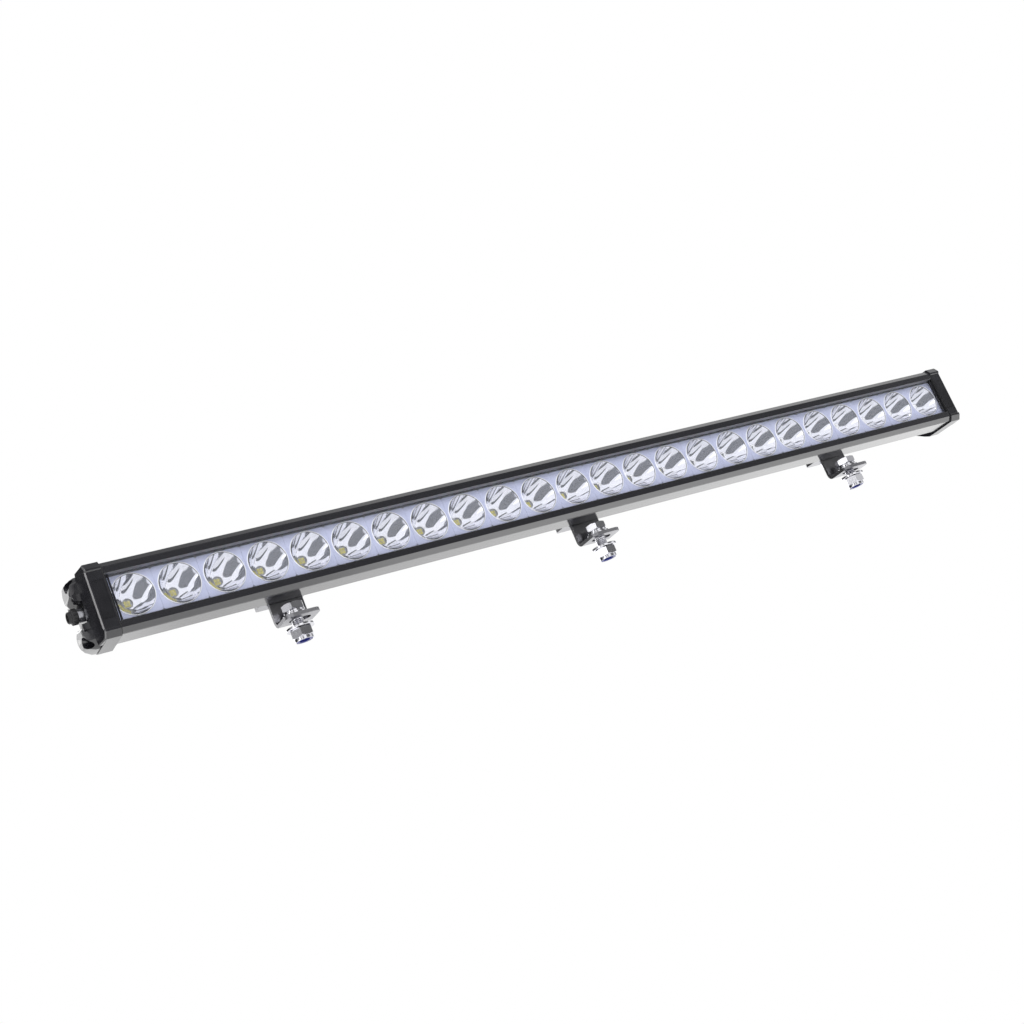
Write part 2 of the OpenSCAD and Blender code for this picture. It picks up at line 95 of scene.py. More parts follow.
def ring_outline(cx, cy, radius, count=40):
    """Points of a whole circle."""
    angles = [2 * math.pi * k / count for k in range(count)]
    return [(cx + radius * math.cos(a), cy + radius * math.sin(a)) for a in angles]


def square(cx, cy, half):
    """The four corners of a square, half its side from its centre."""
    return [(cx - half, cy - half), (cx + half, cy - half), (cx + half, cy + half), (cx - half, cy + half)]


def rounded(corners, steps=3):
    """A closed outline whose corners (a, b, radius) are rounded with arcs."""
    points = []
    count = len(corners)
    for i, (a, b, radius) in enumerate(corners):
        here = Vector((a, b))
        before = Vector(corners[i - 1][:2]) - here
        after = Vector(corners[(i + 1) % count][:2]) - here
        if radius <= 0 or before.length < 1e-6 or after.length < 1e-6:
            points.append(here)
            continue
        u, v = before.normalized(), after.normalized()
        half = math.acos(max(-1.0, min(1.0, u.dot(v)))) / 2
        reach = min(radius / math.tan(half), 0.49 * before.length, 0.49 * after.length)
        radius = reach * math.tan(half)
        centre = here + (u + v).normalized() * (radius / math.sin(half))
        start = here + u * reach - centre
        turn = (here + v * reach - centre).angle_signed(start)
        for k in range(steps + 1):
            angle = turn * k / steps
            points.append(centre + Matrix.Rotation(angle, 2) @ start)
    return points


def both_halves(corners):
    """An outline and its mirror image below the centre line."""
    return corners + [(a, -b, r) for a, b, r in reversed(corners)]


def sweep_x(shape, loops, x0, x1, kind=0):
    """A solid along X: the first loop of (y, z) points is its outside, the others are holes in it."""
    flat = [p for loop in loops for p in loop]
    verts = [(x0, p[0], p[1]) for p in flat] + [(x1, p[0], p[1]) for p in flat]
    count = len(flat)
    faces = []
    start = 0
    for loop in loops:
        n = len(loop)
        for i in range(n):
            j = (i + 1) % n
            faces.append([start + i, start + j, count + start + j, count + start + i])
        start += n
    ends = tessellate_polygon([[Vector((p[0], p[1], 0)) for p in loop] for loop in loops])
    faces += [list(tri) for tri in ends]
    faces += [[count + i for i in reversed(tri)] for tri in ends]
    shape.add(verts, faces, kind)


def prism_z(shape, outline, z0, z1):
    """A solid along Z with one outline of (x, y) points."""
    n = len(outline)
    verts = [(p[0], p[1], z0) for p in outline] + [(p[0], p[1], z1) for p in outline]
    faces = [[i, (i + 1) % n, n + (i + 1) % n, n + i] for i in range(n)]
    faces += [list(range(n - 1, -1, -1)), list(range(n, 2 * n))]
    shape.add(verts, faces)


def axis_point(axis, centre, radius, angle, along):
    """A point on a circle round an axis through a centre."""
    c, s = radius * math.cos(angle), radius * math.sin(angle)
    offset = {"x": (along, c, s), "y": (c, along, -s), "z": (c, s, along)}[axis]
    return Vector(centre) + Vector(offset)


def lathe(shape, profile, centre, axis="z", segments=64, kind=0):
    """A turned solid from (radius, distance along the axis) points; a radius of 0 closes an end."""
    rows = []
    for radius, along in profile:
        if radius == 0:
            rows.append([axis_point(axis, centre, 0, 0, along)])
            continue
        row = []
        for k in range(segments):
            angle = 2 * math.pi * k / segments
            row.append(axis_point(axis, centre, radius, angle, along))
        rows.append(row)
    verts, starts = [], []
    for row in rows:
        starts.append(len(verts))
        verts += row
    faces = []
    for r in range(len(rows) - 1):
        a, b = starts[r], starts[r + 1]
        for k in range(segments):
            d = (k + 1) % segments
            if len(rows[r]) == 1:
                faces.append([a, b + d, b + k])
            elif len(rows[r + 1]) == 1:
                faces.append([a + k, a + d, b])
            else:
                faces.append([a + k, a + d, b + d, b + k])
    shape.add(verts, faces, kind)


def hex_body(shape, centre, across, z0, z1, turn=0.0, bore=0.0, chamfers=(True, True)):
    """A hexagonal nut or bolt head with its corners chamfered by a cone, as a real one has."""
    apothem = across / 2
    count = 72
    slope = math.tan(math.radians(30))
    angles = [2 * math.pi * k / count for k in range(count)]
    corners = [apothem / math.cos((angle % (math.pi / 3)) - math.pi / 6) for angle in angles]
    drops = [(radius - apothem) * slope + 0.1 for radius in corners]

    def row(radii, heights):
        return [Vector(centre) + Vector((r * math.cos(a + turn), r * math.sin(a + turn), z))
                for a, r, z in zip(angles, radii, heights)]

    face = [apothem * 0.97] * count
    low = [z0 + (drop if chamfers[0] else 0) for drop in drops]
    high = [z1 - (drop if chamfers[1] else 0) for drop in drops]
    rows = [row(face, [z0] * count), row(corners, low), row(corners, high), row(face, [z1] * count)]
    if bore:
        wall = [bore] * count
        rows += [row(wall, [z1] * count), row(wall, [z0] * count), rows[0]]
    faces = grid_faces(len(rows), count, True)
    if not bore:
        faces.append(list(range(count - 1, -1, -1)))
        faces.append(list(range(3 * count, 4 * count)))
    shape.add([v for r in rows for v in r], faces)


def thread(shape, centre, radius, z0, z1, pitch, depth):
    """A threaded rod along Z with a helical ridge and closed, tapered ends."""
    columns = 40
    rows = max(4, int((z1 - z0) / pitch * 8))
    verts = []
    for r in range(rows + 1):
        z = z0 + (z1 - z0) * r / rows
        edge = min(z - z0, z1 - z) / 1.2
        for c in range(columns):
            angle = 2 * math.pi * c / columns
            phase = ((z - z0) / pitch - c / columns) % 1.0
            ridge = 1 - abs(2 * phase - 1)
            taper = max(0.0, 1 - edge) * 0.9
            rr = radius - depth * (1 - ridge) - taper
            verts.append(Vector(centre) + Vector((rr * math.cos(angle), rr * math.sin(angle), z)))
    faces = grid_faces(rows + 1, columns, True)
    faces.append(list(range(columns - 1, -1, -1)))
    faces.append(list(range(rows * columns, (rows + 1) * columns)))
    shape.add(verts, faces)


def make_object(name, shape, materials, smooth_angle=32):
    """A Blender object from a shape, with outward faces, welded points and sharp edges by angle."""
    mesh = bpy.data.meshes.new(name)
    mesh.from_pydata([(v + BAR) * MM for v in shape.verts], [], shape.faces)
    for polygon, kind in zip(mesh.polygons, shape.kinds):
        polygon.material_index = kind
    bm = bmesh.new()
    bm.from_mesh(mesh)
    bmesh.ops.remove_doubles(bm, verts=bm.verts, dist=0.000005)
    bmesh.ops.recalc_face_normals(bm, faces=bm.faces)
    bm.to_mesh(mesh)
    bm.free()
    mesh.shade_smooth()
    mesh.set_sharp_from_angle(angle=math.radians(smooth_angle))
    obj = bpy.data.objects.new(name, mesh)
    bpy.context.scene.collection.objects.link(obj)
    for material in materials:
        mesh.materials.append(material)
    return obj


def boolean(obj, other, operation):
    """Joins, cuts or intersects obj with another object, which is then removed."""
    modifier = obj.modifiers.new(operation, "BOOLEAN")
    modifier.operation = operation
    modifier.solver = "EXACT"
    modifier.object = other
    bpy.context.view_layer.update()
    graph = bpy.context.evaluated_depsgraph_get()
    result = bpy.data.meshes.new_from_object(obj.evaluated_get(graph))
    obj.modifiers.clear()
    obj.data = result
    bpy.data.objects.remove(other, do_unlink=True)


def dress(obj, materials, smooth_angle=30):
    """Sets a piece's materials and its sharp edges again after booleans."""
    obj.data.materials.clear()
    for material in materials:
        obj.data.materials.append(material)
    obj.data.shade_smooth()
    obj.data.set_sharp_from_angle(angle=math.radians(smooth_angle))


def soften(obj, width, segments=2, limit=28):
    """Rounds a piece's edges a little and evens its shading, so that edges catch light."""
    bevel = obj.modifiers.new("Edges", "BEVEL")
    bevel.width = width * MM
    bevel.segments = segments
    bevel.limit_method = "ANGLE"
    bevel.angle_limit = math.radians(limit)
    bevel.use_clamp_overlap = True
    bevel.harden_normals = False
    even_shading(obj)


def even_shading(obj):
    """Keeps large flat faces flat where they meet small rounded ones."""
    even = obj.modifiers.new("Even shading", "WEIGHTED_NORMAL")
    even.keep_sharp = True
    even.weight = 80


def settle(obj, body, nodes=()):
    """Gives a finished piece its body and hides the CAD nodes it stands for."""
    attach(obj, body)
    if nodes:
        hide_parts(*nodes)
    return obj


# ---------------------------------------------------------------- materials

def new_material(name):
    """A material with its node tree and its shader."""
    material = bpy.data.materials.new(name)
    material.use_nodes = True
    nodes = material.node_tree.nodes
    shader = nodes["Principled BSDF"]
    return material, material.node_tree, shader


def noise(tree, scale, detail=4.0, roughness=0.55, stretch=(1, 1, 1)):
    """A noise texture in object space, stretched along the axes."""
    place = tree.nodes.new("ShaderNodeTexCoord")
    mapping = tree.nodes.new("ShaderNodeMapping")
    mapping.inputs["Scale"].default_value = stretch
    texture = tree.nodes.new("ShaderNodeTexNoise")
    texture.inputs["Scale"].default_value = scale
    texture.inputs["Detail"].default_value = detail
    texture.inputs["Roughness"].default_value = roughness
    tree.links.new(place.outputs["Object"], mapping.inputs["Vector"])
    tree.links.new(mapping.outputs["Vector"], texture.inputs["Vector"])
    return texture.outputs["Fac"]


def ramp(tree, factor, low, high, start=0.3, end=0.7):
    """Blends from one colour or grey to another as the factor goes from start to end."""
    node = tree.nodes.new("ShaderNodeValToRGB")
    node.color_ramp.elements[0].position = start
    node.color_ramp.elements[1].position = end
    for element, value in zip(node.color_ramp.elements, (low, high)):
        colour = (value, value, value) if isinstance(value, (int, float)) else value
        element.color = (*colour, 1.0)
    tree.links.new(factor, node.inputs["Fac"])
    return node.outputs["Color"]


def bump(tree, shader, height, strength, distance):
    """Tilts the surface's shading by a height."""
    node = tree.nodes.new("ShaderNodeBump")
    node.inputs["Strength"].default_value = strength
    node.inputs["Distance"].default_value = distance
    tree.links.new(height, node.inputs["Height"])
    tree.links.new(node.outputs["Normal"], shader.inputs["Normal"])


def surface(name, low, high, rough, metallic=0.0, ior=1.5, grain=900, stretch=(1, 1, 1),
            bump_strength=0.15, bump_distance=0.00005, patch=40, coat=0.0, coat_rough=0.1):
    """An opaque material with patches of colour, varying roughness and a fine grain."""
    material, tree, shader = new_material(name)
    shader.inputs["Metallic"].default_value = metallic
    shader.inputs["IOR"].default_value = ior
    shader.inputs["Coat Weight"].default_value = coat
    shader.inputs["Coat Roughness"].default_value = coat_rough
    patches = noise(tree, patch, 5.0, 0.6, stretch)
    fine = noise(tree, grain, 3.0, 0.5, stretch)
    tree.links.new(ramp(tree, patches, low, high), shader.inputs["Base Color"])
    tree.links.new(ramp(tree, patches, rough[0], rough[1]), shader.inputs["Roughness"])
    bump(tree, shader, fine, bump_strength, bump_distance)
    return material


HOUSING = surface("anodised_black", (0.006, 0.006, 0.009), (0.010, 0.010, 0.014), (0.19, 0.22),
                  ior=1.9, grain=2200, stretch=(0.15, 1, 1), bump_strength=0.03, coat=0.5, coat_rough=0.15)
CAP = surface("cast_black", (0.010, 0.010, 0.013), (0.016, 0.016, 0.020), (0.14, 0.19), ior=1.8,
              grain=2600, bump_strength=0.06)
# The housing's inner slopes beside the lens, in a lighter grey than the black extrusion: painted sheen,
# though their reflections are rendered too
SLOPE_PAINTED_SHEEN = surface("inner_slopes_painted_sheen", (0.16, 0.16, 0.18), (0.22, 0.22, 0.24), (0.42, 0.48),
                metallic=0.6, grain=2200, stretch=(0.15, 1, 1), bump_strength=0.03)
BLACK_PLASTIC = surface("moulded_black", (0.012, 0.012, 0.014), (0.022, 0.022, 0.024), (0.35, 0.5),
                        grain=1800, bump_strength=0.2)
GLOSS_BLACK = surface("gloss_black", (0.008, 0.008, 0.010), (0.014, 0.014, 0.017), (0.16, 0.24),
                      ior=1.6, grain=1500, bump_strength=0.08)
RUBBER = surface("black_silicone", (0.010, 0.010, 0.011), (0.022, 0.022, 0.023), (0.55, 0.7),
                 grain=1400, bump_strength=0.3)
PLATE = surface("satin_reflector", (0.47, 0.50, 0.70), (0.52, 0.55, 0.75), (0.36, 0.42), metallic=0.1,
                grain=2500, bump_strength=0.05, patch=25)
# Near-white for the lips round the bowls: a painted highlight on the same moulding as the plate
LIP_PAINTED_HIGHLIGHT = surface("lip_painted_highlight", (0.90, 0.91, 0.98), (0.95, 0.96, 1.0), (0.2, 0.28), metallic=0.1,
              grain=2500, bump_strength=0.03)
MIRROR = surface("mirror_reflector", (0.84, 0.85, 0.90), (0.90, 0.90, 0.94), (0.02, 0.04), metallic=1.0,
                 grain=600, bump_strength=0.02, bump_distance=0.00002, patch=60)
STEEL = surface("polished_steel", (0.34, 0.34, 0.36), (0.40, 0.40, 0.42), (0.27, 0.32), metallic=1.0,
                grain=1500, stretch=(0.2, 1, 1), bump_strength=0.10)
CUT_EDGE = surface("cut_steel_edge", (0.26, 0.26, 0.28), (0.34, 0.34, 0.36), (0.42, 0.5),
                   metallic=0.95, grain=1500, bump_strength=0.2)
FASTENER = surface("bright_fasteners", (0.66, 0.66, 0.70), (0.76, 0.76, 0.80), (0.14, 0.20),
                   metallic=1.0, grain=1600, bump_strength=0.12)
DARK_STEEL = surface("plated_screws", (0.30, 0.30, 0.32), (0.42, 0.42, 0.44), (0.28, 0.4), metallic=1.0,
                     grain=1600, bump_strength=0.12)
NICKEL = surface("nickel_gland", (0.62, 0.63, 0.68), (0.74, 0.75, 0.80), (0.22, 0.32), metallic=1.0,
                 grain=1200, bump_strength=0.1)
BLUE = surface("blue_nylon", (0.004, 0.008, 0.12), (0.010, 0.020, 0.20), (0.25, 0.35),
               grain=1500, bump_strength=0.1)
CERAMIC = surface("led_ceramic", (0.62, 0.62, 0.60), (0.74, 0.74, 0.71), (0.3, 0.45),
                  grain=1500, bump_strength=0.1)
PHOSPHOR = surface("led_phosphor", (0.86, 0.74, 0.04), (0.96, 0.86, 0.08), (0.3, 0.45),
                   grain=3000, bump_strength=0.2, patch=300)
WHITE_BOARD = surface("white_board", (0.66, 0.66, 0.64), (0.76, 0.76, 0.74), (0.4, 0.5), grain=1200)
GREEN_BOARD = surface("green_board", (0.02, 0.12, 0.05), (0.03, 0.18, 0.07), (0.35, 0.5), grain=1200)
PAD = surface("thermal_pad", (0.26, 0.33, 0.40), (0.34, 0.41, 0.48), (0.7, 0.85), grain=800)
CAN = surface("capacitor_cans", (0.40, 0.41, 0.44), (0.52, 0.53, 0.56), (0.3, 0.4), metallic=1.0,
              grain=900)
WIRE = surface("red_wire", (0.34, 0.015, 0.015), (0.46, 0.03, 0.03), (0.35, 0.5), grain=900)


def clear(name, tint, alpha, rough):
    """A clear moulding seen mostly through its gloss."""
    material, tree, shader = new_material(name)
    shader.inputs["IOR"].default_value = 1.49
    shader.inputs["Alpha"].default_value = alpha
    haze = noise(tree, 20, 3.0, 0.5)
    lighter = tuple(min(1, c * 1.05) for c in tint)
    tree.links.new(ramp(tree, haze, tint, lighter), shader.inputs["Base Color"])
    tree.links.new(ramp(tree, haze, rough, rough * 1.6), shader.inputs["Roughness"])
    return material


LENS = clear("clear_lens", (0.80, 0.84, 0.95), 0.07, 0.03)
RESIN = clear("clear_resin", (0.9, 0.9, 0.92), 0.10, 0.04)


# ---------------------------------------------------------------- housing

def housing():
    """The long extrusion, with its window, lens grooves, chamfered rails, bolt slot and fins."""
    top = [
        (31.4, 17.8, 0), (6.0, 17.8, 0.2), (6.0, 20.6, 0), (3.2, 20.6, 0), (3.2, 18.5, 0.15),
        (0, 19.5, 0.35), (0, 25.05, 0.4), (3.3, 29.05, 0.45), (3.8, 29.05, 0), (4.35, 28.2, 0),
        (4.9, 29.05, 0), (28, 29.05, 0.8), (28, 23.5, 0.6), (47, 23.5, 0.5), (49, 21, 0.5),
    ]
    lower = [(y, -z, r) for y, z, r in reversed(top)]
    fins = []
    for i in range(6, -1, -1):
        z = -17.5 + i * (35 - 2.2) / 6
        fins += [(49, z + 2.2, 0.4), (58, z + 2.05, 0.5), (58, z + 0.15, 0.5), (49, z, 0.4)]
    slot = [(47, -23.5, 0.5), (43.9, -23.5, 0.4), (43.9, -20.5, 0), (45.9, -20.5, 0), (45.9, -15.1, 0),
            (35.1, -15.1, 0), (35.1, -20.5, 0), (37.1, -20.5, 0), (37.1, -23.5, 0.4), (28, -23.5, 0.6)]
    outline = top + fins + lower[:1] + slot + lower[3:]
    cavity = rounded([(34.4, -11, 1), (34.4, 19, 1), (44, 19, 1), (44, -11, 1)])
    shape = Shape()
    sweep_x(shape, [rounded(outline), cavity], -HALF_L, HALF_L)

    # round bosses between the fins, for the end caps' rear screws
    end = HALF_L - 0.01
    for z in (8.7, -8.7):
        lathe(shape, [(0, -end), (4.2, -end), (4.2, end), (0, end)], (0, 52.5, z), "x", 32)
    obj = make_object("housing_shell", shape, [HOUSING, SLOPE_PAINTED_SHEEN], 40)
    # the inner slopes beside the lens take the painted sheen
    for polygon in obj.data.polygons:
        depth = polygon.center.y / MM - BAR.y
        height = abs(polygon.center.z / MM - BAR.z)
        if 0.1 < depth < 3.1 and height < 19.6:
            polygon.material_index = 1
    even_shading(obj)
    settle(obj, "light_bar", ["housing"])


# ---------------------------------------------------------------- optics

# Depth of the reflector plate, radius and depth of a bowl, and radius of the hole for its emitter
PLATE_Y = 6.1
BOWL_R = 16.5
BOWL_D = 21.0
HOLE_R = 4.3
# Material numbers of a reflector's faces
PLAIN, MIRRORED, PAINTED_HIGHLIGHT, SHADOW = range(4)


def cell_boundary():
    """Angles and outer points of one reflector cell: a rectangle with small corner cuts."""
    w, h, cut = 18.68, 17.5, 1.1
    corners = [(w, h - cut), (w - cut, h), (-w + cut, h), (-w, h - cut),
               (-w, -h + cut), (-w + cut, -h), (w - cut, -h), (w, -h + cut)]
    angles = sorted({round(2 * math.pi * k / 88, 6) for k in range(88)}
                    | {round(math.atan2(z, x) % (2 * math.pi), 6) for x, z in corners})
    points = []
    for angle in angles:
        dx, dz = math.cos(angle), math.sin(angle)
        best = 1e9
        for i, (ax, az) in enumerate(corners):
            bx, bz = corners[(i + 1) % len(corners)]
            ex, ez = bx - ax, bz - az
            cross = dx * ez - dz * ex
            if abs(cross) < 1e-9:
                continue
            t = (ax * ez - az * ex) / cross
            s = (ax * dz - az * dx) / cross
            if t > 0 and -1e-6 <= s <= 1 + 1e-6:
                best = min(best, t)
        points.append((best * dx, best * dz))
    return angles, points


def reflector_cell(shape, x):
    """One bowl with its rim ring and its part of the plate, closed at the back."""
    angles, outer = cell_boundary()
    count = len(angles)
    rings = []

    def circle(radius, depth, kind):
        points = [(x + radius * math.cos(a), PLATE_Y + depth, radius * math.sin(a)) for a in angles]
        rings.append((points, kind))

    def edge(scale, depth, kind):
        points = [(x + px * scale, PLATE_Y + depth, pz * scale) for px, pz in outer]
        rings.append((points, kind))

    # the cell's edge, the raised lip painted near-white as a highlight, and a band of painted shade inside
    # it
    edge(1.0, 1.5, PLAIN)
    edge(1.0, 0.12, PLAIN)
    edge(0.994, 0.0, PLAIN)
    circle(17.42, 0.0, PAINTED_HIGHLIGHT)
    circle(17.3, -0.45, PAINTED_HIGHLIGHT)
    circle(17.05, -0.6, PAINTED_HIGHLIGHT)
    circle(16.8, -0.6, PAINTED_HIGHLIGHT)
    # a narrow band inside the lip, in black: painted shade
    circle(16.7, -0.3, SHADOW)
    circle(16.62, 0.35, SHADOW)

    # the parabolic bowl
    steps = 22
    focal = (BOWL_R ** 2 - HOLE_R ** 2) / (4 * (BOWL_D - 0.35))
    for i in range(steps + 1):
        radius = BOWL_R + (HOLE_R - BOWL_R) * i / steps
        circle(radius, 0.35 + (BOWL_R ** 2 - radius ** 2) / (4 * focal), MIRRORED)

    # its back, a wall's thickness away
    wall = 0.7
    back_steps = 6
    circle(HOLE_R + wall, BOWL_D + 0.2, PLAIN)
    for i in range(back_steps, -1, -1):
        radius = BOWL_R + (HOLE_R - BOWL_R) * i / back_steps
        share = (BOWL_R ** 2 - radius ** 2) / (BOWL_R ** 2 - HOLE_R ** 2)
        circle(radius + wall, 1.5 + (BOWL_D - 1.3) * share, PLAIN)
    rings.append(rings[0])
    base = [v for ring, kind in rings for v in ring]
    for r in range(len(rings) - 1):
        faces = []
        for c in range(count):
            d = (c + 1) % count
            faces.append([c, d, count + d, count + c])
        shape.add(base[r * count:(r + 2) * count], faces, rings[r][1])


def reflectors():
    """Eight moulded strips of three cells each."""
    for strip in range(8):
        shape = Shape()
        for cell in range(3):
            reflector_cell(shape, (strip * 3 + cell + 0.5) * PITCH - HALF_L)
        # the third material paints a highlight on the lips; the fourth, the black moulding's, paints shade
        # in the band inside them
        obj = make_object(f"reflector_strip_{strip + 1}", shape, [PLATE, MIRROR, LIP_PAINTED_HIGHLIGHT, BLACK_PLASTIC], 38)
        settle(obj, "light_bar", [f"reflector_{strip + 1}"])


BOX_FACES = [[0, 1, 5, 4], [1, 2, 6, 5], [2, 3, 7, 6], [3, 0, 4, 7], [4, 5, 6, 7], [3, 2, 1, 0]]


def led_base(shape, x, front):
    """An emitter's square ceramic base with rounded corners."""
    outline = rounded([(a, b, 0.4) for a, b in square(x, 0, 3.5)])
    n = len(outline)
    verts = [(p[0], front + 0.9, p[1]) for p in outline] + [(p[0], front, p[1]) for p in outline]
    sides = [[i, (i + 1) % n, n + (i + 1) % n, n + i] for i in range(n)]
    shape.add(verts, sides + [list(range(n)), list(range(2 * n - 1, n - 1, -1))])


def led_dies(shape, x, front):
    """Four low yellow dies with sloping sides."""
    for sx in (-1, 1):
        for sz in (-1, 1):
            cx, cz = x + sx * 1.3, sz * 1.3
            foot = square(cx, cz, 1.2)
            verts = [(a, front - 0.02, b) for a, b in foot]
            verts += [(cx + (a - cx) * 0.93, front - 0.35, cz + (b - cz) * 0.93) for a, b in foot]
            shape.add(verts, BOX_FACES)


def led_dome(shape, x, front):
    """The clear dome over the dies, closed underneath."""
    profile = [(3.35, 0)]
    for degrees in range(0, 90, 10):
        angle = math.radians(degrees)
        profile.append((3.2 * math.cos(angle), -2.6 * math.sin(angle) - 0.05))
    profile.append((0, -2.65))
    lathe(shape, profile, (x, front - 0.01, 0), "y", 40)
    lathe(shape, [(0, 0), (3.35, 0)], (x, front - 0.01, 0), "y", 40)


def leds():
    """One emitter at the bottom of every bowl."""
    packages, dies, domes = Shape(), Shape(), Shape()
    front = 28.4
    for cell in range(CELLS):
        x = (cell + 0.5) * PITCH - HALF_L
        led_base(packages, x, front)
        led_dies(dies, x, front)
        led_dome(domes, x, front)
    settle(make_object("led_bases", packages, [CERAMIC]), "light_bar", ["led_packages"])
    settle(make_object("led_dies", dies, [PHOSPHOR], 20), "light_bar", ["led_phosphors"])
    settle(make_object("led_domes", domes, [RESIN], 50), "light_bar")


# ---------------------------------------------------------------- end caps

def cap_piece(name, outlines, side):
    """A solid for an end cap from outlines of (y, z) points, each with its distance out along the bar.

    A point may carry a third number, which is added to its own distance."""
    shape = Shape()
    n = len(outlines[0][1])
    verts = []
    for out, outline in outlines:
        for point in outline:
            tilt = point[2] if len(point) > 2 else 0
            verts.append((side * (CAP_FACE + out + tilt), point[0], point[1]))
    faces = grid_faces(len(outlines), n, True)
    first = tessellate_polygon([[Vector((p[0], p[1], 0)) for p in outlines[0][1]]])
    last = tessellate_polygon([[Vector((p[0], p[1], 0)) for p in outlines[-1][1]]])
    offset = (len(outlines) - 1) * n
    faces += [list(t) for t in first] + [[offset + i for i in reversed(t)] for t in last]
    shape.add(verts, faces)
    return make_object(name, shape, [CAP])


def scaled(outline, cy, cz, factor):
    """The outline shrunk or grown about a centre."""
    return [(cy + (p[0] - cy) * factor, cz + (p[1] - cz) * factor) for p in outline]


def inset(outline, distance):
    """The outline moved inwards by about a distance."""
    points = [Vector(p[:2]) for p in outline]
    area = sum(points[k - 1].cross(points[k]) for k in range(len(points)))
    reach = distance if area > 0 else -distance
    moved = []
    for i, here in enumerate(points):
        along = points[(i + 1) % len(points)] - points[i - 1]
        moved.append(here + Vector((-along.y, along.x)).normalized() * reach)
    return moved


def side_plate(side):
    """The cap's side plate: thin, leaning outwards towards its wavy rear edge, with a bevelled edge."""
    plate = [(-0.5, 23.1, 0), (-1.6, 23.9, 0), (-1.6, 25.6, 0.4), (2.3, 30.4, 0.8), (16.6, 30.2, 1.2),
             (18.2, 26.5, 1.0), (21.0, 25.0, 1.5), (23.5, 20.5, 1.5), (22.5, 13.5, 2.0), (20.0, 7.5, 2.0),
             (20.3, 2.5, 2.0), (22.0, -3.0, 3.0), (23.0, -8.0, 2.0), (29.0, -12.0, 1.5), (30.5, -15.8, 1.0),
             (27.5, -16.8, 1.5), (23.5, -18.2, 2.0), (18.8, -22.2, 2.0), (18.0, -26.5, 1.0),
             (16.8, -30.2, 0.8), (2.3, -30.4, 0.8), (-1.6, -25.6, 0.4), (-1.6, -23.9, 0), (-0.5, -23.1, 0)]
    lean = 0.14
    flat = rounded(plate)
    brow = [(p[0], p[1], lean * (p[0] + 1)) for p in flat]
    edge = [(p[0], p[1], lean * (p[0] + 1)) for p in inset(flat, 0.95)]
    return cap_piece("plate", [(11, flat), (12.0, brow), (12.95, edge)], side)


def add_lobes(cap, side):
    """Two large tapered lobes above and below the valley, and two round ones behind them."""
    upper = rounded([(19, 11, 2), (17, 24, 3), (23, 29.5, 3), (40, 29.5, 4), (47, 22, 4), (47, 10, 3),
                     (40, 6.5, 3)])
    lower = rounded([(19, -10, 2), (40, -6.5, 3), (48, -12, 4), (49, -20, 7), (41, -29.8, 7),
                     (24, -29.8, 6), (17, -24, 3)])
    for outline, cy, cz in ((upper, 28, 19), (lower, 28, -19)):
        layers = [(11, outline)]
        for out, factor in ((15.5, 0.97), (21.0, 0.76), (23.0, 0.58)):
            layers.append((out, scaled(outline, cy, cz, factor)))
        boolean(cap, cap_piece("lobe", layers, side), "UNION")
    for sign in (1, -1):
        cy, cz = 50, sign * 11.5
        outline = ring_outline(cy, cz, 7.3, 32)
        layers = [(11, outline), (17.5, scaled(outline, cy, cz, 0.85))]
        boolean(cap, cap_piece("rear_lobe", layers, side), "UNION")


def add_ribs(cap, side):
    """Triangular ribs on the valley's walls."""
    for sign in (1, -1):
        for k in range(4):
            y = 18.6 + k * 4.4
            rib = [(y, sign * 14.5), (y + 1.0, sign * 7.6), (y + 3.2, sign * 14.5)]
            crest = [(y, sign * 14.5), (y + 0.6, sign * 9.6), (y + 1.2, sign * 14.5)]
            boolean(cap, cap_piece("rib", [(11, rib), (21.5 - 0.8 * k, crest)], side), "UNION")


def cut_holes(cap, side):
    """Screw holes with deep pockets, the cable's bore and the badge's seat."""
    for y, z in ((24.5, 23.2), (24.5, -23.2), (52.5, 8.7), (52.5, -8.7)):
        pocket = ring_outline(y, z, 4.75)
        boolean(cap, cap_piece("pocket", [(7, pocket), (30, pocket)], side), "DIFFERENCE")
        hole = ring_outline(y, z, 2.8, 28)
        boolean(cap, cap_piece("hole", [(-2, hole), (10, hole)], side), "DIFFERENCE")
    bore = ring_outline(29, 0.5, 4.6)
    boolean(cap, cap_piece("bore", [(-2, bore), (30, bore)], side), "DIFFERENCE")
    seat = [(-4, -15.6), (0.3, -15.6), (0.3, 15.6), (-4, 15.6)]
    boolean(cap, cap_piece("seat", [(1, seat), (10.4, seat)], side), "DIFFERENCE")


def lens_end_ridges(name, side):
    """Two thin ridges between the cap and the first cell, in front of the lens's end."""
    ridges = Shape()
    half_width = 0.45
    outline = rounded([(3.3, 18.4, 0), (1.0, 18.6, 0.3), (1.0, -18.6, 0.3), (3.3, -18.4, 0)])
    for out in (-3.6, -1.6):
        x = side * (CAP_FACE + out)
        sweep_x(ridges, [outline], x - half_width, x + half_width)
    band = make_object(f"lens_end_ridges_{name}", ridges, [GLOSS_BLACK], 30)
    soften(band, 0.12)
    settle(band, "light_bar")


def end_cap(side):
    """One cast end cap, for side -1 (left) or 1 (right)."""
    name = "left" if side < 0 else "right"
    front = [(-0.4, 23.1, 0), (-1.5, 23.9, 0), (-1.5, 25.5, 0.5), (2.3, 30.5, 0.6),
             (38, 30.5, 1.5), (44.5, 27.5, 2), (58, 19.5, 3)]
    rim = rounded(both_halves(front))
    cap = cap_piece(f"cap_{name}", [(0, rim), (12.0, rim)], side)
    boolean(cap, side_plate(side), "UNION")
    add_lobes(cap, side)
    add_ribs(cap, side)
    cut_holes(cap, side)
    dress(cap, [CAP])
    cap.name = f"end_cap_shell_{name}"
    soften(cap, 0.3, 2, 30)
    settle(cap, "light_bar", [f"end_cap_{name}"])
    lens_end_ridges(name, side)


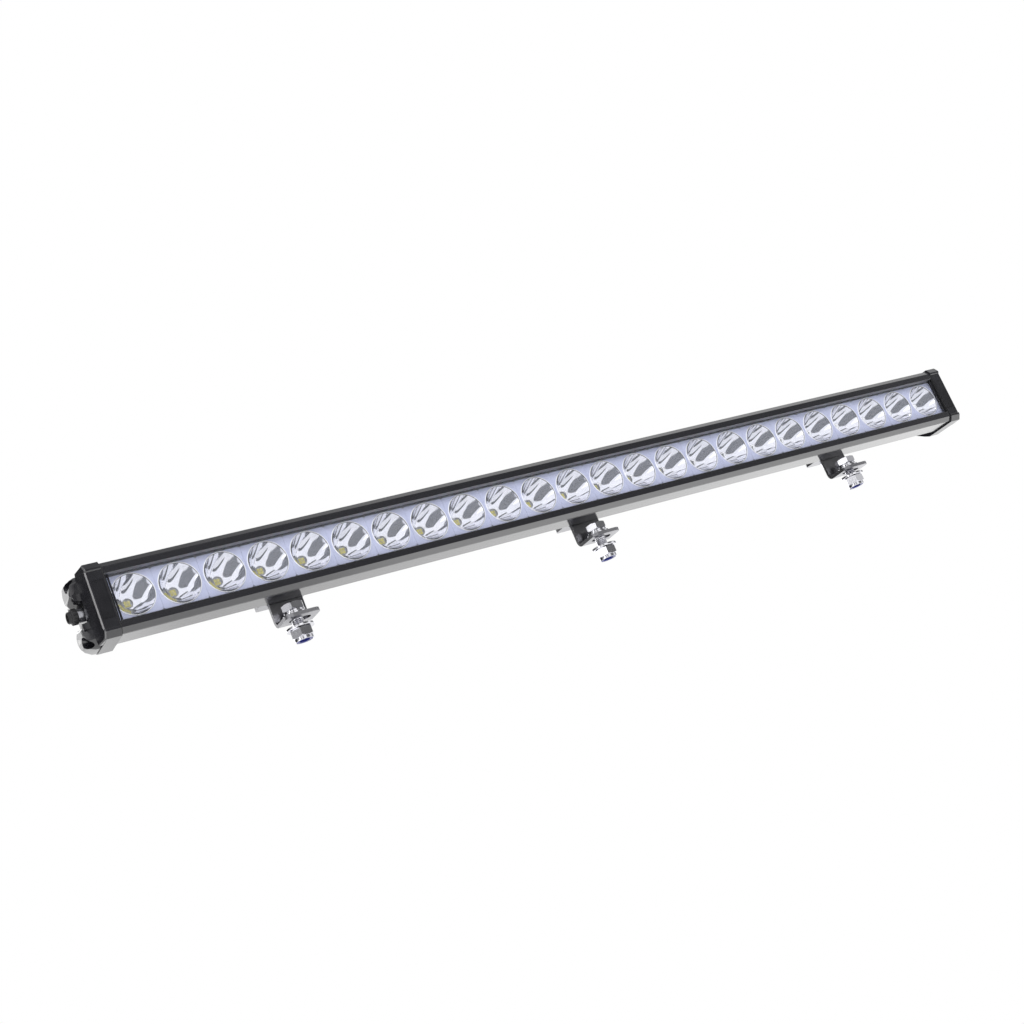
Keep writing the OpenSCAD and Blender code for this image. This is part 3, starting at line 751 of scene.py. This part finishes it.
def gland():
    """The cable gland's tapered nut with its ribs and its sealing lip."""
    outer_x, cy, cz = -464.5, 29, 0.5
    ribs = 12
    nut = Shape()
    profile = [(4.65, -6.6), (5.6, -6.6), (5.9, -7.0), (5.9, -10.8), (5.6, -11.4), (4.9, -11.7),
               (4.7, -12.2), (4.7, -13.3), (4.4, -13.8), (3.9, -14.0), (3.7, -13.9), (3.5, -13.5),
               (3.5, -6.7), (4.65, -6.6)]
    lathe(nut, profile, (outer_x, cy, cz), "x", 96)
    rib = [(0, -7.0), (0.6, -7.0), (0.8, -7.3), (0.8, -10.6), (0.4, -11.2), (0, -11.3)]
    for y, z in ring_outline(cy, cz, 5.8, ribs):
        lathe(nut, rib, (outer_x, y, z), "x", 12)
    obj = make_object("gland_ribbed_nut", nut, [BLACK_PLASTIC], 30)
    settle(obj, "light_bar", ["gland_nut"])


# ---------------------------------------------------------------- feet

def bracket_section(foot_top):
    """The bent sheet's outline seen from its side: foot, leg and flange."""
    front_y, back_y = 28.3, 31.3
    top_z = -23.8
    bend = 3.0
    outer = bend + SHEET
    low_y, low_z = front_y - bend, foot_top + bend
    high_y, high_z = back_y + bend, top_z - SHEET - bend
    section = [(1.3, FOOT_UNDER)]
    section += arc(low_y, low_z, outer, -90, 0, 8)
    section += arc(high_y, high_z, bend, 180, 90, 8)
    section += [(49.5, top_z - SHEET), (49.5, top_z)]
    section += arc(high_y, high_z, outer, 90, 180, 8)
    section += arc(low_y, low_z, bend, 0, -90, 8)
    section += [(1.3, foot_top)]
    return [Vector(p) for p in section]


def bracket(side):
    """A foot's bent steel sheet with its bolt slot and its clamp hole; cut front edges are duller."""
    x = FOOT_X[side]
    foot_top = FOOT_UNDER + SHEET
    sheet = Shape()
    sweep_x(sheet, [bracket_section(foot_top)], x - 20, x + 20)
    obj = make_object(f"foot_bracket_{side}", sheet, [STEEL], 30)
    plan = rounded([(x - 15, 1.3, 6), (x + 15, 1.3, 6), (x + 15, 32.3, 1.5), (x + 20, 32.3, 0.6),
                    (x + 20, 49.5, 3), (x - 20, 49.5, 3), (x - 20, 32.3, 0.6), (x - 15, 32.3, 1.5)], 6)
    blank = Shape()
    prism_z(blank, plan, FOOT_UNDER - 5, -10)
    boolean(obj, make_object("blank", blank, [STEEL]), "INTERSECT")
    slot_hole = Shape()
    ends = arc(x + 4, 14.5, 5.5, -90, 90, 16) + arc(x - 4, 14.5, 5.5, 90, 270, 16)
    prism_z(slot_hole, ends, FOOT_UNDER - 5, FOOT_UNDER + 8)
    boolean(obj, make_object("slot", slot_hole, [STEEL]), "DIFFERENCE")
    round_hole = Shape()
    prism_z(round_hole, ring_outline(x, 40.5, 3.25, 32), -31.8, -18.8)
    boolean(obj, make_object("hole", round_hole, [STEEL]), "DIFFERENCE")
    dress(obj, [STEEL, CUT_EDGE])
    for polygon in obj.data.polygons:
        depth = polygon.center.y / MM - BAR.y
        height = polygon.center.z / MM - BAR.z
        upright = abs(polygon.normal.z) < 0.3
        polygon.material_index = 1 if upright and height < foot_top and depth < 9 else 0
    soften(obj, 0.55, 3, 40)
    settle(obj, f"foot_{side}", [f"bracket_{side}"])


def washer(name, centre, radius, bore, z0, z1, body, node):
    """A flat washer with small bevels that stands for one CAD node."""
    shape = Shape()
    edge = 0.3
    lathe(shape, [(bore, z0), (radius - edge, z0), (radius, z0 + edge), (radius, z1 - edge),
                  (radius - edge, z1), (bore, z1), (bore, z0)], centre, "z", 72)
    settle(make_object(name, shape, [FASTENER], 30), body, [node])


def foot_bolt(side, centre, tail):
    """A hexagon bolt standing in the foot's slot, with the flat and the spring washer under its head."""
    bolt = Shape()
    washers = [(0, 3.3), (10.1, 3.3), (10.4, 3.6), (10.4, 4.9), (10.1, 5.15), (8.2, 5.2), (8.2, 5.3),
               (8.8, 5.5), (8.8, 7.0), (8.5, 7.25), (7.9, 7.3), (7.9, 7.5), (0, 7.6)]
    lathe(bolt, washers, centre, "z", 72)
    hex_body(bolt, centre, 17, 7.4, 13.6, turn=math.radians(4))
    lathe(bolt, [(0, 13.5), (7.4, 13.5), (7.2, 13.62), (0, 13.62)], centre, "z", 48)
    thread(bolt, centre, 4.98, tail, 3.4, 1.5, 0.5)
    piece = make_object(f"hex_bolt_{side}", bolt, [FASTENER], 35)
    settle(piece, f"bolt_{side}", [f"foot_bolt_{side}"])


def foot_nut(side, centre, top):
    """The locking nut, whose collar holds the blue ring."""
    nut = Shape()
    hex_body(nut, centre, 17, top - 7.6, top, turn=math.radians(5), bore=5.02)
    collar = [(7.1, top - 7.5), (8.1, top - 7.5), (8.1, top - 9.6), (7.9, top - 10.1), (7.4, top - 10.2),
              (7.1, top - 10.0), (7.1, top - 7.5)]
    lathe(nut, collar, centre, "z", 72)
    piece = make_object(f"lock_nut_{side}", nut, [FASTENER], 35)
    settle(piece, f"bolt_{side}", [f"foot_nut_{side}"])
    ring = Shape()
    profile = [(4.4, top - 7.65), (7.05, top - 7.65), (7.05, top - 9.8), (6.7, top - 10.0),
               (5.0, top - 10.0), (4.4, top - 9.5), (4.4, top - 7.65)]
    lathe(ring, profile, centre, "z", 64)
    piece = make_object(f"locking_ring_{side}", ring, [BLUE], 35)
    settle(piece, f"bolt_{side}", [f"nut_insert_{side}"])


def foot_hardware(side):
    """The bolt, washer and nut that fix one foot; heights count from the foot's underside."""
    centre = (FOOT_X[side] + BOLT_PLACE[side], 14.5, FOOT_UNDER)
    top = -NUT_GAP[side]
    nut_top = top - 2.02
    foot_bolt(side, centre, nut_top - 7.2)
    washer(f"wide_washer_{side}", centre, 12, 5.25, top - 2, top, f"bolt_{side}", f"foot_washer_{side}")
    foot_nut(side, centre, nut_top)


def clamp_hardware(side):
    """The small bolt, washer and nut that clamp one foot to the housing's slot."""
    centre = (FOOT_X[side], 40.5, 0)
    body = f"foot_{side}"
    under = -26.8
    bolt = Shape()
    hex_body(bolt, centre, 10, -20.2, -16.2, chamfers=(False, True))
    thread(bolt, centre, 2.98, -35.3, -20.1, 1.0, 0.35)
    piece = make_object(f"slot_bolt_{side}", bolt, [FASTENER], 35)
    settle(piece, body, [f"clamp_bolt_{side}"])
    washer(f"slot_washer_{side}", centre, 6, 3.2, under - 2.02, under - 0.02, body, f"clamp_washer_{side}")
    nut = Shape()
    hex_body(nut, centre, 10, under - 7.04, under - 2.04, bore=3.02)
    piece = make_object(f"slot_nut_{side}", nut, [FASTENER], 35)
    settle(piece, body, [f"clamp_nut_{side}"])


# ---------------------------------------------------------------- carried CAD nodes

CARRIED = [
    (LENS, ["lens_cover"]),
    (RUBBER, ["lens_gasket", "end_gasket_left", "end_gasket_right", "gland_seal", "breather_seal"]),
    (WHITE_BOARD, ["led_board_left", "led_board_right"]),
    (PAD, ["thermal_pad"]),
    (DARK_STEEL, ["board_screws", "cap_screws_left", "cap_screws_right"]),
    (GREEN_BOARD, ["driver_board"]),
    (BLACK_PLASTIC, ["driver_inductors", "driver_chips", "breather_plug"]),
    (CAN, ["driver_capacitors"]),
    (WIRE, ["supply_wires"]),
    (GLOSS_BLACK, ["badge_left", "badge_right"]),
    (NICKEL, ["gland_body"]),
]


def carried_nodes():
    """CAD nodes that stay as they are get their material."""
    for material, nodes in CARRIED:
        for node in nodes:
            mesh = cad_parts[node].data
            mesh.materials.clear()
            mesh.materials.append(material)


# ---------------------------------------------------------------- studio

def area_light(name, place, target, size, power, mirrored=True):
    """A soft light that the camera doesn't see, and that glossy surfaces mirror only if mirrored."""
    data = bpy.data.lights.new(name, "AREA")
    data.shape = "RECTANGLE"
    data.size, data.size_y = size
    data.energy = power
    obj = bpy.data.objects.new(name, data)
    obj.location = place
    obj.rotation_euler = (Vector(target) - Vector(place)).to_track_quat("-Z", "Y").to_euler()
    obj.visible_camera = False
    obj.visible_glossy = mirrored
    bpy.context.scene.collection.objects.link(obj)


# Plain soft boxes round the object, with dark gaps between them: compass angle from the front (-Y)
# towards +X, and level
SOFT_BOXES = [
    (-180, 2.2), (-160, 2.0), (-154, 0.04), (-112, 0.04), (-108, 0.35), (-86, 0.35), (-83, 0.05),
    (-80, 1.0), (-64, 1.0), (-62, 0.05), (-55, 0.05), (-53, 1.0), (-34, 1.0), (-32, 0.05), (-24, 0.05),
    (-22, 1.2), (8, 1.2), (11, 0.16), (52, 0.16), (54, 1.0), (76, 1.0), (78, 0.4), (112, 0.5), (130, 1.5),
    (160, 0.95), (167, 2.0), (180, 2.2),
]
# Brightness of the ceiling against the height of a direction: darker straight above
CEILING = [(0.62, 1.2), (0.84, 1.0), (0.93, 0.30), (1.0, 0.22)]


def levels(tree, factor, stops):
    """Grey levels along a factor, straight between the given (place, level) stops."""
    node = tree.nodes.new("ShaderNodeValToRGB")
    for k, (place, value) in enumerate(stops):
        element = node.color_ramp.elements[k] if k < 2 else node.color_ramp.elements.new(1.0)
        element.position = place
        element.color = (value, value, value, 1)
    tree.links.new(factor, node.inputs["Fac"])
    return node.outputs["Color"]


def compass(tree, direction):
    """How far round the compass a direction is: 0 and 1 at the back, 0.5 at the front."""
    forward = tree.nodes.new("ShaderNodeMath")
    forward.operation = "MULTIPLY"
    forward.inputs[1].default_value = -1
    tree.links.new(direction.outputs["Y"], forward.inputs[0])
    around = tree.nodes.new("ShaderNodeMath")
    around.operation = "ARCTAN2"
    tree.links.new(direction.outputs["X"], around.inputs[0])
    tree.links.new(forward.outputs[0], around.inputs[1])
    turn = tree.nodes.new("ShaderNodeMapRange")
    turn.inputs["From Min"].default_value = -math.pi
    turn.inputs["From Max"].default_value = math.pi
    tree.links.new(around.outputs[0], turn.inputs["Value"])
    return turn.outputs["Result"]


def surroundings():
    """A world of plain soft boxes and a ceiling for reflections; the camera itself sees plain white."""
    world = bpy.data.worlds.new("studio")
    bpy.context.scene.world = world
    world.use_nodes = True
    tree = world.node_tree
    tree.nodes.clear()
    place = tree.nodes.new("ShaderNodeTexCoord")
    direction = tree.nodes.new("ShaderNodeSeparateXYZ")
    tree.links.new(place.outputs["Generated"], direction.inputs["Vector"])
    stops = [((angle + 180) / 360, level) for angle, level in SOFT_BOXES]
    boxes = levels(tree, compass(tree, direction), stops)
    overhead = levels(tree, direction.outputs["Z"], CEILING)
    above = ramp(tree, direction.outputs["Z"], 0.0, 1.0, 0.62, 0.72)
    ceiling = tree.nodes.new("ShaderNodeMix")
    ceiling.data_type = "RGBA"
    tree.links.new(above, ceiling.inputs["Factor"])
    tree.links.new(boxes, ceiling.inputs["A"])
    tree.links.new(overhead, ceiling.inputs["B"])
    lit = tree.nodes.new("ShaderNodeBackground")
    tree.links.new(ceiling.outputs["Result"], lit.inputs["Color"])

    seen = tree.nodes.new("ShaderNodeBackground")
    seen.inputs["Color"].default_value = (1, 1, 1, 1)
    path = tree.nodes.new("ShaderNodeLightPath")
    mix = tree.nodes.new("ShaderNodeMixShader")
    output = tree.nodes.new("ShaderNodeOutputWorld")
    tree.links.new(path.outputs["Is Camera Ray"], mix.inputs["Fac"])
    tree.links.new(lit.outputs["Background"], mix.inputs[1])
    tree.links.new(seen.outputs["Background"], mix.inputs[2])
    tree.links.new(mix.outputs["Shader"], output.inputs["Surface"])


def floor():
    """A plain pale floor, in metres, with a faint glow of its own."""
    half, height = 1.6, -0.9
    mesh = bpy.data.meshes.new("floor")
    mesh.from_pydata([(x, y, height) for x, y in square(0, 0, half)], [], [[0, 1, 2, 3]])
    obj = bpy.data.objects.new("floor", mesh)
    bpy.context.scene.collection.objects.link(obj)
    pale = surface("pale_floor", (0.86, 0.86, 0.86), (0.9, 0.9, 0.9), (0.7, 0.8), grain=60,
                   bump_strength=0.02, patch=1.5)
    mesh.materials.append(pale)
    glow = pale.node_tree.nodes["Principled BSDF"]
    glow.inputs["Emission Color"].default_value = (1, 1, 1, 1)
    glow.inputs["Emission Strength"].default_value = 0.25


def lights():
    """Four area lights, in metres and watts: place, target, size and power."""
    area_light("left_strip", (-2.36, -0.81, 0.5), (0, 0, 0), (0.25, 2.0), 6)
    area_light("left_low", (-2.2, -0.1, -0.75), (-0.4, 0, 0), (0.9, 0.9), 5)
    area_light("floor_glow", (1.1, -0.5, -0.88), (1.1, -0.5, 0.0), (1.7, 0.9), 3.5)
    area_light("front_high", (-0.2, -1.9, 2.1), (0, 0, 0), (2.4, 1.2), 46, mirrored=False)


def camera():
    """The photograph's view: place in metres, angles in degrees."""
    data = bpy.data.cameras.new("camera")
    data.sensor_width = 36
    data.lens = 56.364
    data.clip_start = 0.01
    obj = bpy.data.objects.new("camera", data)
    obj.location = (-0.8077, -1.1474, -0.2995)
    obj.rotation_euler = [math.radians(a) for a in (105.302, 22.110, -26.629)]
    bpy.context.scene.collection.objects.link(obj)
    bpy.context.scene.camera = obj


camera()
surroundings()
floor()
lights()
housing()
reflectors()
leds()
for cap_side in (-1, 1):
    end_cap(cap_side)
gland()
for foot_side in FOOT_X:
    bracket(foot_side)
    foot_hardware(foot_side)
    clamp_hardware(foot_side)
carried_nodes()
bpy.context.scene.view_settings.view_transform = "Standard"
